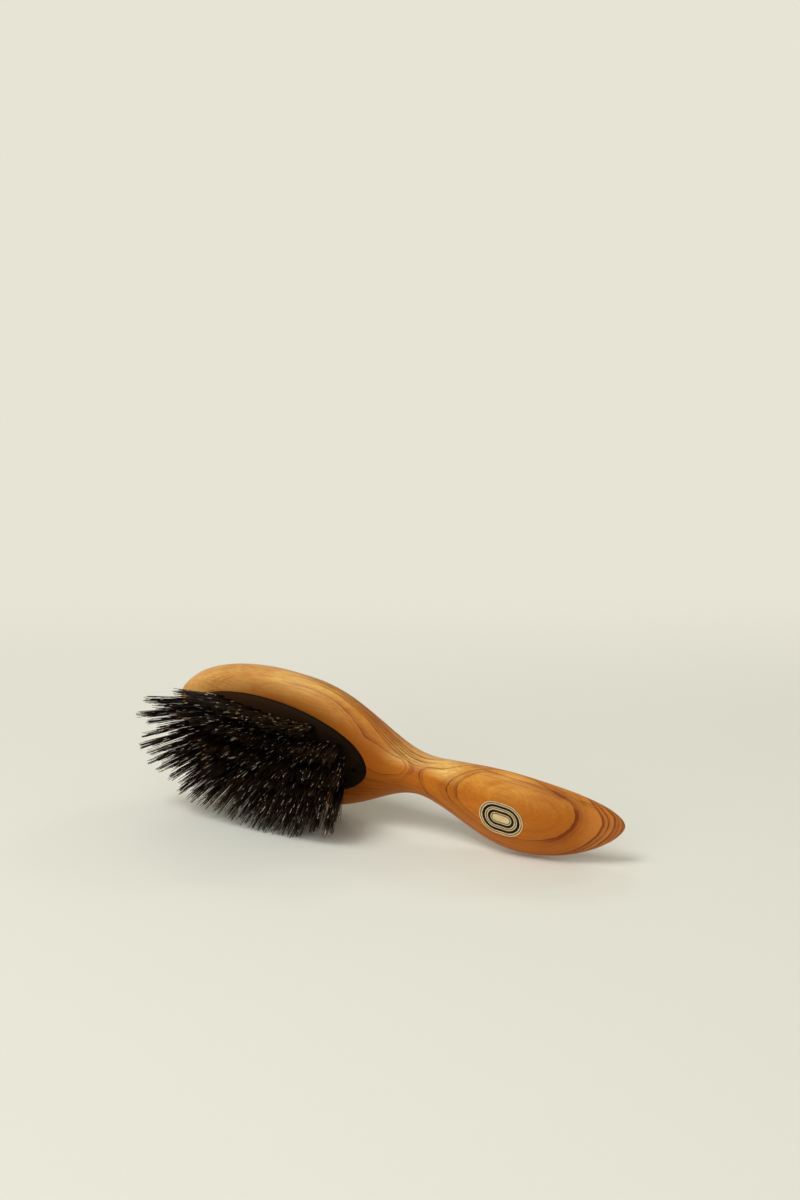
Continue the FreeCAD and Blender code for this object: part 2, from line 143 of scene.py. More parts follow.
class Board:
    """A node tree with one method that adds any node."""

    def __init__(self, tree: NodeTree) -> None:
        """Starts on a tree that may already have nodes."""
        self.tree = tree

    def add(self, kind: str, settings: Mapping[str, Any] | None = None,
            inputs: Mapping[int | str, Any] | None = None, out: int | str | None = 0) -> Signal | None:
        """Adds one node.

        Args:
            kind: Blender's type name of the node.
            settings: Properties of the node, set first.
            inputs: Values or signals, by index, identifier or name of the input socket.
            out: Index, identifier or name of the output socket to return, or None for a node without one.

        Returns:
            The wanted output of the node.
        """
        node = self.tree.nodes.new(kind)
        for name, value in (settings or {}).items():
            setattr(node, name, value)
        for key, value in (inputs or {}).items():
            self.feed(self._find(node.inputs, key), value)
        return None if out is None else Signal(self, self._find(node.outputs, out))

    def feed(self, socket: NodeSocket, value: Any) -> None:
        """Gives an input socket what it takes.

        Args:
            socket: Input socket of a node.
            value: Signal to link, or plain value to set.
        """
        if isinstance(value, Signal):
            self.tree.links.new(value.socket, socket)
        else:
            socket.default_value = value

    @staticmethod
    def _find(sockets: Any, key: int | str) -> NodeSocket:
        """Socket of a node by index, identifier or name."""
        named = (socket for socket in sockets if key in (socket.identifier, socket.name))
        return sockets[key] if isinstance(key, int) else next(named)

    def vector(self, operation: str, *values: Any) -> Signal:
        """Adds one Vector Math node and returns its vector, or its value for a dot product or a length."""
        out = "Value" if operation in {"DOT_PRODUCT", "LENGTH"} else "Vector"
        return self.add("ShaderNodeVectorMath", {"operation": operation}, dict(enumerate(values)), out)

    def combine(self, x: Any, y: Any, z: Any) -> Signal:
        """Vector from three numbers."""
        return self.add("ShaderNodeCombineXYZ", {}, {0: x, 1: y, 2: z})

    def scaled(self, vector: Any, amount: Any) -> Signal:
        """Vector times a number."""
        inputs = {0: vector, "Scale": amount}
        return self.add("ShaderNodeVectorMath", {"operation": "SCALE"}, inputs, "Vector")

    def seen_directly(self) -> Signal:
        """1 for rays from the camera, and for those that metal or glass send on, and 0 for the rest."""
        kinds = ("Camera", "Glossy", "Transmission")
        return strongest(self.add("ShaderNodeLightPath", {}, {}, f"Is {kind} Ray") for kind in kinds)


class Finish(Board):
    """A material with one Principled shader, built node by node."""

    def __init__(self, name: str) -> None:
        """Makes a material with a shader and an output.

        Args:
            name: Name of the material.
        """
        self.material = bpy.data.materials.new(name)
        self.material.use_nodes = True
        super().__init__(self.material.node_tree)
        self.tree.nodes.clear()
        self.shader = self.tree.nodes.new("ShaderNodeBsdfPrincipled")
        self.output = self.tree.nodes.new("ShaderNodeOutputMaterial")
        self.tree.links.new(self.shader.outputs["BSDF"], self.output.inputs["Surface"])

    def surface(self, **sockets: Any) -> Material:
        """Sets the shader's sockets.

        Args:
            sockets: Values or signals by the socket's name, with underscores for spaces.

        Returns:
            The finished material.
        """
        for name, value in sockets.items():
            self.feed(self.shader.inputs[name.replace("_", " ").title().replace("Ior", "IOR")], value)
        return self.material

    def glow_to_camera(self, share: Signal, colour: Colour) -> None:
        """Shows the camera, and reflections too, an even colour that lights nothing.

        Args:
            share: How much of it shows, from 0 to 1.
            colour: The even colour.
        """
        glow = self.add("ShaderNodeEmission", {}, {"Color": colour, "Strength": 1.0}, "Emission")
        lit = Signal(self, self.shader.outputs["BSDF"])
        mixed = self.add("ShaderNodeMixShader", {}, {0: share * self.seen_directly(), 1: lit, 2: glow})
        self.feed(self.output.inputs["Surface"], mixed)

    def object_coordinates(self) -> Signal:
        """Place on the piece, in metres in the row frame."""
        return self.add("ShaderNodeTexCoord", {}, {}, "Object")

    def noise(self, vector: Signal, scale: float, detail: float = 2.0, roughness: float = 0.5) -> Signal:
        """Noise from 0 to 1 over a vector."""
        inputs = {"Vector": vector, "Scale": scale, "Detail": detail, "Roughness": roughness}
        return self.add("ShaderNodeTexNoise", {"noise_dimensions": "3D"}, inputs, "Fac")

    def mix(self, share: Any, first: Any, second: Any) -> Signal:
        """Colour a share of the way from the first to the second."""
        inputs = {"Factor_Float": share, "A_Color": first, "B_Color": second}
        return self.add("ShaderNodeMix", {"data_type": "RGBA"}, inputs, "Result_Color")

    def layered(self, base: Any, *layers: tuple[Signal, Any]) -> Any:
        """Lays colours over one another.

        Args:
            base: The colour below all.
            layers: Share and colour of each layer, from the lowest.

        Returns:
            The colour on top.
        """
        for share, colour in layers:
            base = self.mix(share, base, colour)
        return base

    def bump(self, height: Signal, depth: float, strength: float = 0.3) -> Signal:
        """Normal that a height signal gives the surface, with the depth in millimetres."""
        inputs = {"Strength": strength, "Distance": depth * MM, "Height": height}
        return self.add("ShaderNodeBump", {}, inputs, "Normal")


def srgb(red: int, green: int, blue: int) -> Colour:
    """Linear colour from screen levels of 0 to 255.

    Args:
        red: Level of red.
        green: Level of green.
        blue: Level of blue.

    Returns:
        The colour as Blender's sockets take it.
    """
    levels = (level / 255 for level in (red, green, blue))
    linear = (level / 12.92 if level <= 0.04045 else ((level + 0.055) / 1.055) ** 2.4 for level in levels)
    return (*linear, 1.0)


# Axes of the brush


@dataclass(frozen=True)
class BrushAxes:
    """Axes of the brush in the row frame, with lengths in millimetres along them."""

    toe: Vector = field(default_factory=lambda: Vector((-109.986, 14.297, 45.788)))
    pitch: float = math.radians(7.8)
    roll: float = math.radians(13.1)

    @property
    def along(self) -> Vector:
        """Direction from the toe of the head to the tip of the handle."""
        return Vector((math.cos(self.pitch), 0, -math.sin(self.pitch)))

    @property
    def outward(self) -> Vector:
        """Direction out of the bristle face."""
        lift = -math.sin(self.roll)
        return Vector((lift * math.sin(self.pitch), -math.cos(self.roll), lift * math.cos(self.pitch)))

    @property
    def across(self) -> Vector:
        """Direction to the upper edge of the head."""
        return self.outward.cross(self.along)

    def turned(self, vector: Vector) -> Vector:
        """Brush direction in the row frame."""
        return self.along * vector.x + self.across * vector.y + self.outward * vector.z

    def placed(self, point: Vector) -> Vector:
        """Brush point, in millimetres, in the row frame, in metres."""
        return (self.toe + self.turned(point)) * MM


class BrushFinish(Finish):
    """A material that reads its place on the brush, in millimetres along the brush's axes."""

    def __init__(self, name: str, axes: BrushAxes) -> None:
        """Makes a material with a shader, an output and its place.

        Args:
            name: Name of the material.
            axes: Axes of the brush.
        """
        super().__init__(name)
        spot = self.object_coordinates()
        self.along, self.across, self.outward = (
            self.vector("DOT_PRODUCT", spot, axis / MM) - axes.toe.dot(axis)
            for axis in (axes.along, axes.across, axes.outward))

    def grain(self, along: float, across: float, deep: float, detail: float = 2.0, roughness: float = 0.5,
              layer: Signal | None = None) -> Signal:
        """Noise of these lengths along, across and through the brush, or through the given layers."""
        spot = self.combine(self.along / along, self.across / across, (layer or self.outward) / deep)
        return self.noise(spot, 1.0, detail, roughness)


# Finishes


@dataclass(frozen=True)
class GrowthRing:
    """One dark line of the wood, with sizes in millimetres.

    The depth is the ring's place in the layers, and the line shows from begin to end along the brush. The
    wash starts its lead above the line.
    """

    depth: float
    strength: float
    shade: float
    width: float
    begin: float
    end: float
    shade_depth: float = 1.5
    lead: float = 0.05


@dataclass(frozen=True)
class LayerLift:
    """A place where the wood's layers rise or dip, with sizes in millimetres."""

    along: float
    across: float
    reach: float
    lift: float


@dataclass(frozen=True)
class OliveWood:
    """Oiled olive wood, whose flat layers are cut by the carved faces.

    Sizes are in millimetres. A span is where a tone begins to change and where it has changed.
    """

    axes: BrushAxes
    tilt_across: float = 0.266
    tilt_along: float = 0.0635
    fade: float = 14.0
    wash_full: float = 0.1
    edge_middle: float = 179.0
    edge_bend: float = 0.0058
    back_pitch: float = 2.1
    back_spread: float = 3.2
    back_width: float = 0.16
    back_strength: float = 0.6
    back_shade: float = 0.45
    back_ends: Span = (-5.0, -1.0)
    head_ends: Span = (124, 138)
    head_upper: Span = (-8, 2)
    gold_ends: Span = (62, 112)
    neck_at: float = 134.0
    neck_reach: Span = (10, 26)
    neck_highlight_side: Span = (5, 10)
    highlight_upper_side: Span = (5, 18)
    highlight_grows: Span = (125, 150)
    handle_darkens: Span = (176, 198)
    tip_pales: Span = (206, 218)
    pad_middle: float = 58.2
    pad_half_length: float = 49.0
    pad_half_width: float = 22.2
    pad_shade_grows: Span = (-10, 60)
    heart_ends: Span = (10, 20)
    rings: tuple[GrowthRing, ...] = (
        GrowthRing(19.7, 0.85, 0.45, 0.15, 138, 240, 2.0),
        GrowthRing(19.7, 0.0, 1.0, 0.15, 194, 240, 3.2),
        GrowthRing(20.9, 0.6, 0.6, 0.15, 136, 168, 1.5, 0.2),
        GrowthRing(18.2, 0.8, 0.4, 0.18, 62, 131, 1.6),
        GrowthRing(17.3, 0.0, 0.6, 0.18, 116, 139, 4.5),
        GrowthRing(16.5, 0.85, 0.5, 0.18, 131, 180, 2.0),
        GrowthRing(13.6, 0.65, 0.9, 0.28, 196, 240, 1.3, 0.5),
        GrowthRing(12.2, 0.55, 0.8, 0.3, 204, 240, 1.2, 0.6),
        GrowthRing(10.4, 0.6, 0.9, 0.34, 204, 240, 1.4, 0.7),
        GrowthRing(9.0, 0.5, 0.8, 0.34, 206, 240, 1.2, 0.6),
        GrowthRing(7.2, 0.55, 0.85, 0.38, 206, 240, 1.4, 0.7),
    )
    bundle: tuple[GrowthRing, ...] = (
        GrowthRing(15.0, 0.6, 0.45, 0.3, 76, 134, 1.5, 0.3),
        GrowthRing(14.1, 0.75, 0.6, 0.28, 60, 130, 1.5, 0.3),
        GrowthRing(13.0, 0.8, 0.8, 0.32, 72, 136, 1.5, 0.3),
        GrowthRing(11.9, 0.65, 0.75, 0.3, 64, 130, 1.5, 0.3),
        GrowthRing(10.7, 0.75, 0.75, 0.34, 74, 136, 1.5, 0.3),
    )
    edge_rings: tuple[GrowthRing, ...] = (
        GrowthRing(18.5, 0.45, 0.4, 0.34, 150, 214, 1.5, 0.4),
        GrowthRing(17.9, 0.35, 0.3, 0.3, 192, 216, 1.5, 0.4),
        GrowthRing(17.2, 0.3, 0.25, 0.3, 164, 210, 1.5, 0.4),
    )
    lifts: tuple[LayerLift, ...] = (
        LayerLift(114, 6, 15, 2.4),
        LayerLift(124, 8, 9, 2.0),
        LayerLift(131, 1, 9, -1.8),
        LayerLift(136, 9, 10, 1.5),
        LayerLift(182, -9, 26, -1.4),
        LayerLift(195, 19, 16, -2.0),
        LayerLift(216, 15, 12, -2.2),
    )

    def layers(self, finish: BrushFinish) -> tuple[Signal, Signal, Signal]:
        """Reads how deep a place lies in each family of layers.

        Args:
            finish: Material of the wood.

        Returns:
            Depths in the lifted layers, in the plain ones and in those along the handle's edge.
        """
        waver = finish.grain(44, 15, 15) - 0.5 + (finish.grain(9, 3, 3, 3.0) - 0.5) * 0.5
        plain = finish.outward + finish.across * self.tilt_across + finish.along * self.tilt_along + waver
        lifted = plain
        for lift in self.lifts:
            spot = finish.combine(finish.along - lift.along, finish.across - lift.across, 0.0)
            lifted = lifted + (1 - finish.vector("LENGTH", spot).rise(0.0, lift.reach)) * lift.lift
        from_middle = finish.along - self.edge_middle
        return lifted, plain, finish.across + from_middle * from_middle * self.edge_bend + waver * 0.7

    def figure(self, layer: Signal, along: Signal, rings: Sequence[GrowthRing]) -> tuple[Signal, Signal]:
        """Draws the lines, and the darker wash below them, of a family of layers.

        Args:
            layer: Depth in the layers.
            along: Place along the brush.
            rings: Rings of the family.

        Returns:
            How strong the lines and the wash are.
        """
        lines, washes = [], []
        for ring in rings:
            window = along.rise(ring.begin - self.fade / 2, ring.begin + self.fade / 2)
            window = window * (1 - along.rise(ring.end - self.fade / 2, ring.end + self.fade / 2))
            below = ring.depth - layer
            wash = below.rise(-ring.lead, self.wash_full) * (1 - below.rise(0.0, ring.shade_depth))
            lines.append((1 - abs(below).rise(0.0, ring.width)) * window * ring.strength)
            washes.append(wash * window * ring.shade)
        return strongest(lines), strongest(washes)

    def back_figure(self, finish: BrushFinish, layer: Signal) -> tuple[Signal, Signal]:
        """Draws the lines and washes of the endless layers that the plain back cuts.

        Args:
            finish: Material of the wood.
            layer: Depth in the layers.

        Returns:
            How strong the lines and the wash are.
        """
        spacing = finish.noise(finish.combine(0.0, 0.0, layer), 0.45, 1.0) * self.back_spread
        turn = ((layer + spacing) / self.back_pitch).math("FRACT") - 0.5
        strength = finish.noise(finish.combine(finish.along / 50, 0.0, layer / 1.6), 1.0).rise(0.3, 0.62)
        strength = strength * (1 - finish.outward.rise(*self.back_ends))
        line = 1 - (abs(turn) * self.back_pitch).rise(0.0, self.back_width)
        wash = turn.rise(-0.02, 0.02) * (1 - turn.rise(0.0, 0.5))
        return line * strength * self.back_strength, wash * strength * self.back_shade

    def broad_tones(self, finish: BrushFinish) -> Signal:
        """Lays the tones that change slowly over the brush, with painted highlight on the upper side and
        along the top of the neck, and painted shade on the wood around the cushion.

        Args:
            finish: Material of the wood.

        Returns:
            The colour below the grain.
        """
        along, across = finish.along, finish.across
        # painted highlight: the top edge of the neck gets the toe's pale gold as if lit from above; the
        # golden toe itself is the wood's own tone
        painted_neck_highlight = across.rise(*self.neck_highlight_side) * (1 - abs(along - self.neck_at).rise(*self.neck_reach))
        gold_and_neck_highlight = (1 - along.rise(*self.gold_ends)).most(painted_neck_highlight)
        # painted highlight: the upper side of the neck and handle is made golden as if lit from above
        painted_upper_highlight = across.rise(*self.highlight_upper_side) * along.rise(*self.highlight_grows).between(0.5, 0.8)
        handle = along.rise(*self.handle_darkens) * (1 - gold_and_neck_highlight)
        # painted shade: the wood darkens towards the cushion's edge, where the cushion and bristles shade
        # it
        pad_share = (along - self.pad_middle) / self.pad_half_length
        from_pad = finish.vector("LENGTH", finish.combine(pad_share, across / self.pad_half_width, 0.0))
        painted_pad_shade = (1 - from_pad.rise(1.0, 1.55)) * along.rise(*self.pad_shade_grows)
        return finish.layered(
            srgb(192, 113, 22),
            # colour of the painted highlight on the upper side
            (painted_upper_highlight, srgb(225, 167, 76)),
            # pale gold of the toe, which also paints the highlight along the neck's top
            (gold_and_neck_highlight, srgb(232, 188, 104)),
            (handle * 0.4, srgb(158, 80, 18)),
            # colour of the painted shade around the cushion
            (painted_pad_shade * 0.92, srgb(140, 72, 8)),
        )

    def build(self) -> Material:
        """Builds the material.

        Returns:
            The oiled wood.
        """
        finish = BrushFinish("olive_wood_oiled", self.axes)
        lifted, plain, edge = self.layers(finish)
        families = ((lifted, self.rings), (plain, self.bundle), (edge, self.edge_rings))
        figures = zip(*(self.figure(layer, finish.along, rings) for layer, rings in families))
        lines, washes = (strongest(signals) for signals in figures)
        back_lines, back_washes = self.back_figure(finish, plain)
        upper = finish.along.rise(*self.head_ends).most(finish.across.rise(*self.head_upper))
        upper = upper.between(0.3, 1.0)
        patches = finish.grain(16, 6, 2, layer=lifted).rise(0.3, 0.62)
        fine = finish.grain(60, 30, 1 / 3.6, 3.0, 0.6, lifted).rise(0.36, 0.64)
        lines = (lines * patches.between(0.6, 1.0) * upper).most(back_lines)
        washes = (washes * patches.between(0.55, 1.0)).most(back_washes)
        washes = washes * fine.between(0.5, 1.1) * upper.between(0.4, 1.0)
        cloud = finish.grain(30, 8, 8)
        heart = 1 - (lifted + cloud * 4).rise(*self.heart_ends)
        streaks = finish.grain(18, 1.1, 1.1, 3.0, 0.55).rise(0.45, 0.7)
        fibre = finish.grain(6, 1 / 1.6, 1 / 1.6, 3.0, 0.6)
        growth = finish.grain(60, 30, 1 / 1.3, 4.0, 0.62, lifted).rise(0.48, 0.7)
        flecks = finish.grain(2.2, 1 / 3.2, 1 / 3.2, 1.0).rise(0.64, 0.74)
        base = finish.layered(
            self.broad_tones(finish),
            (cloud.rise(0.35, 0.7) * 0.45, srgb(172, 95, 22)),
            (heart * 0.2, srgb(164, 85, 14)),
            (streaks * 0.32, srgb(158, 83, 16)),
            (fibre.rise(0.42, 0.75) * 0.22, srgb(150, 79, 14)),
            (growth * 0.35, srgb(150, 77, 12)),
            (fine * 0.14, srgb(142, 69, 8)),
            (flecks * 0.22, srgb(114, 59, 10)),
            (finish.along.rise(*self.tip_pales) * 0.5, srgb(222, 142, 68)),
            (washes, srgb(116, 46, 5)),
            (lines, srgb(80, 33, 5)),
        )
        roughness = 0.42 + fibre * 0.1 + lines * 0.06
        relief = fibre * 0.6 - lines * 0.5 - flecks * 0.5
        return finish.surface(base_color=base, roughness=roughness, normal=finish.bump(relief, 0.12),
                              specular_ior_level=0.16)


@dataclass(frozen=True)
class CushionRubber:
    """Matte black rubber with a faint sheen, a little paler towards the toe."""

    axes: BrushAxes
    pale_toe_ends: Span = (10, 105)
    grain_scale: float = 5200.0
    dust_scale: float = 130.0

    def build(self) -> Material:
        """Builds the material.

        Returns:
            The matte rubber.
        """
        finish = BrushFinish("cushion_rubber_matte", self.axes)
        spot = finish.object_coordinates()
        grain = finish.noise(spot, self.grain_scale)
        dust = finish.noise(spot, self.dust_scale, 3.0).rise(0.42, 0.8)
        # the rubber is paler at the toe and darker away from it
        darkens_from_toe = finish.along.rise(*self.pale_toe_ends)
        base = finish.layered(srgb(46, 26, 10), (darkens_from_toe, srgb(18, 10, 2)), (dust * 0.3, srgb(44, 26, 12)))
        roughness = 0.5 + grain * 0.14 + dust * 0.1
        return finish.surface(base_color=base, roughness=roughness, normal=finish.bump(grain, 0.03),
                              specular_ior_level=0.035)


@dataclass(frozen=True)
class BristleHair:
    """Dark natural bristle with paler tips, and short bright stretches painted on some hairs as glints of
    light.
    """

    dash_count: float = 1.6
    dash_short: float = 0.04
    dash_long: float = 0.17
    dash_shuffle: float = 57.3
    pick_shuffle: float = 23.9
    length_shuffle: float = 91.7
    glint_shuffle: float = 41.3
    glint_hairs: Span = (0.7, 0.75)
    brown_hairs: Span = (0.8, 1.0)
    tip_grows: Span = (0.75, 1.0)

    def build(self) -> Material:
        """Builds the material.

        Returns:
            The dark bristle.
        """
        finish = Finish("bristle_hair_dark")
        reach = finish.add("ShaderNodeAttribute", {"attribute_name": "reach"}, {}, "Fac")
        tone = finish.add("ShaderNodeAttribute", {"attribute_name": "tone"}, {}, "Fac")
        body = finish.mix(tone.rise(*self.brown_hairs), srgb(11, 7, 4), srgb(42, 20, 9))
        tips = finish.mix(tone, srgb(26, 19, 12), srgb(96, 74, 48))
        # painted glints: short near-white stretches on some hairs stand in for highlights
        along = (reach * self.dash_count + tone * self.dash_shuffle).math("FRACT")
        half_dash = (tone.shuffled(self.length_shuffle) ** 2).between(self.dash_short, self.dash_long)
        glint_dash = (1 - abs(along - 0.5) / half_dash).rise(0.0, 0.4)
        painted_glint = glint_dash * tone.shuffled(self.pick_shuffle).rise(*self.glint_hairs)
        # near-white and warm colours of the painted glints
        glow = finish.mix(tone.shuffled(self.glint_shuffle), srgb(255, 250, 236), srgb(232, 190, 128))
        by_tip = reach.rise(*self.tip_grows) * tone.between(0.1, 0.5)
        base = finish.layered(body, (by_tip, tips), (painted_glint, glow))
        return finish.surface(base_color=base, roughness=0.3, specular_ior_level=0.2,
                              coat_weight=painted_glint, coat_roughness=0.15)


@dataclass(frozen=True)
class BadgeBrass:
    """Pale brass, brushed across, with fine engraved lines that follow the badge's edge.

    Sizes are in millimetres.
    """

    axes: BrushAxes
    middle_at: float = 176.0
    half_straight: float = 2.4
    half_width: float = 8.1
    first_line: float = 0.75
    line_pitch: float = 2.7
    line_width: float = 0.5

    def build(self) -> Material:
        """Builds the material.

        Returns:
            The brushed brass.
        """
        finish = BrushFinish("badge_brass_brushed", self.axes)
        brushing = finish.grain(2, 1 / 9, 1)
        smudge = finish.grain(3, 3, 3)
        past_straight = (abs(finish.along - self.middle_at) - self.half_straight).most(0.0)
        from_axis = finish.vector("LENGTH", finish.combine(past_straight, finish.across, 0.0))
        turn = ((self.half_width - from_axis - self.first_line) / self.line_pitch + 0.5).math("FRACT") - 0.5
        engraved = 1 - (abs(turn) * self.line_pitch).rise(self.line_width / 3, self.line_width * 2 / 3)
        base = finish.layered(
            srgb(240, 218, 172),
            (smudge.rise(0.35, 0.7) * 0.5, srgb(216, 184, 126)),
            (engraved * 0.85, srgb(52, 38, 22)),
        )
        roughness = 0.24 + brushing * 0.14 + smudge * 0.06
        return finish.surface(base_color=base, metallic=1.0, roughness=roughness,
                              normal=finish.bump(brushing * 0.2 - engraved, 0.08))


@dataclass(frozen=True)
class PlainFinish:
    """Simple hard finish with a fine mottle."""

    name: str
    pale: Colour
    dark: Colour
    roughness: float
    metallic: float = 0.0
    specular: float = 0.5
    mottle_scale: float = 900.0

    def build(self) -> Material:
        """Builds the material.

        Returns:
            The hard finish.
        """
        finish = Finish(self.name)
        mottle = finish.noise(finish.object_coordinates(), self.mottle_scale, 3.0)
        base = finish.mix(mottle.rise(0.3, 0.7), self.dark, self.pale)
        roughness = self.roughness + mottle * 0.1
        return finish.surface(base_color=base, metallic=self.metallic, roughness=roughness,
                              specular_ior_level=self.specular)


STEEL = PlainFinish("staple_steel_drawn", pale=srgb(190, 190, 188), dark=srgb(150, 150, 150),
                    roughness=0.3, metallic=1.0)
ENAMEL = PlainFinish("enamel_black", pale=srgb(20, 15, 10), dark=srgb(12, 9, 6),
                     roughness=0.22, specular=0.12)
GLUE = PlainFinish("glue_clear", pale=srgb(206, 196, 168), dark=srgb(190, 178, 148), roughness=0.4)


# Pieces


class GrowingTree(Board):
    """A Geometry Nodes tree with named inputs, one of them Seed, run once on a mesh of points."""

    draws_per_seed = 20

    def __init__(self, name: str, inputs: Mapping[str, str]) -> None:
        """Makes a tree with its inputs.

        Args:
            name: Name of the tree.
            inputs: Socket type of each named input.
        """
        super().__init__(bpy.data.node_groups.new(name, "GeometryNodeTree"))
        interface = self.tree.interface
        interface.new_socket("Geometry", in_out="INPUT", socket_type="NodeSocketGeometry")
        for label, kind in inputs.items():
            interface.new_socket(label, in_out="INPUT", socket_type=kind)
        interface.new_socket("Geometry", in_out="OUTPUT", socket_type="NodeSocketGeometry")
        self.entry = self.tree.nodes.new("NodeGroupInput")

    def given(self, label: str) -> Signal:
        """One named input of the tree."""
        return Signal(self, self.entry.outputs[label])

    def attribute(self, label: str, kind: str) -> Signal:
        """Named attribute of the geometry."""
        inputs = {"Name": label}
        return self.add("GeometryNodeInputNamedAttribute", {"data_type": kind}, inputs, "Attribute")

    def source(self, draw: Draw) -> dict[str, Signal]:
        """Inputs that give each point a random value of its own for one draw."""
        seed = self.given("Seed") * self.draws_per_seed + draw.value
        return {"ID": self.add("GeometryNodeInputIndex"), "Seed": seed}

    def chance(self, draw: Draw) -> Signal:
        """Random number from 0 to 1 for each point."""
        inputs = {"Min_001": 0.0, "Max_001": 1.0, **self.source(draw)}
        return self.add("FunctionNodeRandomValue", {"data_type": "FLOAT"}, inputs, "Value_001")

    def scatter(self, draw: Draw) -> Signal:
        """Random vector from -1 to 1 for each point."""
        inputs = {"Min": (-1.0, -1.0, -1.0), "Max": (1.0, 1.0, 1.0), **self.source(draw)}
        return self.add("FunctionNodeRandomValue", {"data_type": "FLOAT_VECTOR"}, inputs, "Value")

    def store(self, geometry: Signal, label: str, kind: str, value: Any) -> Signal:
        """Geometry with a value stored on its points."""
        return self.add("GeometryNodeStoreNamedAttribute", {"data_type": kind, "domain": "POINT"},
                        {"Geometry": geometry, "Name": label, "Value": value})

    def shifted(self, geometry: Signal, offset: Any) -> Signal:
        """Geometry with its points moved."""
        return self.add("GeometryNodeSetPosition", {}, {"Geometry": geometry, "Offset": offset})

    def close(self, geometry: Signal, material: Signal) -> None:
        """Ends the tree with plain, dressed geometry.

        Args:
            geometry: What the tree has made.
            material: Finish that it gets.
        """
        smooth = self.add("GeometryNodeSetShadeSmooth", {}, {"Geometry": geometry})
        plain = self.add("GeometryNodeRealizeInstances", {}, {"Geometry": smooth})
        dressed = self.add("GeometryNodeSetMaterial", {}, {"Geometry": plain, "Material": material})
        self.add("NodeGroupOutput", {}, {0: dressed}, None)

    def grow(self, name: str, seeds: Mesh, values: Mapping[str, Any]) -> Object:
        """Runs the tree and keeps its result as a plain mesh.

        Args:
            name: Name of the new piece.
            seeds: Mesh whose points the tree starts from.
            values: Value of each named input.

        Returns:
            The new piece, with no modifier.
        """
        source = add_object(name + "_seeds", seeds)
        modifier = source.modifiers.new("growth", "NODES")
        modifier.node_group = self.tree
        for item in self.tree.interface.items_tree:
            if item.in_out == "INPUT" and item.name in values:
                modifier[item.identifier] = values[item.name]
        graph = bpy.context.evaluated_depsgraph_get()
        mesh = bpy.data.meshes.new_from_object(source.evaluated_get(graph), preserve_all_data_layers=True,
                                               depsgraph=graph)
        bpy.data.objects.remove(source)
        mesh.name = name
        return add_object(name, mesh)


